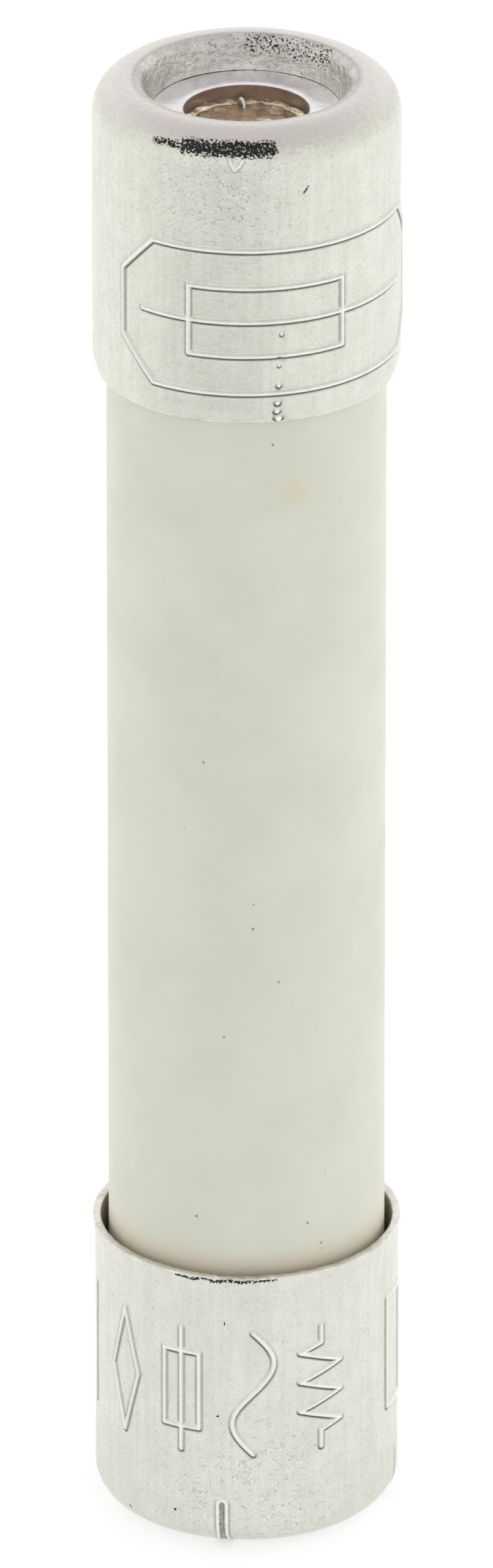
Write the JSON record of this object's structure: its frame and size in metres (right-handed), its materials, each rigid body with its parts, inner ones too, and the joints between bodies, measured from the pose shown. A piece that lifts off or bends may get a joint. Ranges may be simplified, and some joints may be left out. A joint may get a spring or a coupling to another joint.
{
  "type": "cartridge fuse",
  "caption": "Miniature cartridge fuse: a ceramic tube with a drawn metal cap at each end, sand filled, with a soldered fuse wire.",
  "frame": {"origin": "centre of the lower cap's end, on the surface that the fuse stands on", "axes": "+Z along the fuse's axis, from the lower cap to the upper cap; -Y faces the viewer"},
  "size_m": [0.0064, 0.0064, 0.032],
  "materials": {
    "ceramic": "matte unglazed, off-white with a grey-green cast",
    "plating": "nickel plated, satin, finely pitted",
    "silvered": "bright tinned or silvered",
    "solder": "coppery solder under flux",
    "flux": "clear amber rosin, glossy",
    "fibre": "pressed fibre",
    "sand": "quartz sand",
    "wire": "tinned copper wire"
  },
  "bodies": {
    "root": {"ceramic_tube": "ceramic", "sand_filling": "sand", "fuse_wire": "wire", "upper_end_cap": "plating", "upper_contact_ring": "silvered", "upper_solder_joint": "solder", "upper_flux_residue": "flux", "upper_sealing_washer": "fibre", "lower_end_cap": "plating", "lower_contact_ring": "silvered", "lower_solder_joint": "solder", "lower_flux_residue": "flux", "lower_sealing_washer": "fibre"}
  },
  "joints": []
}
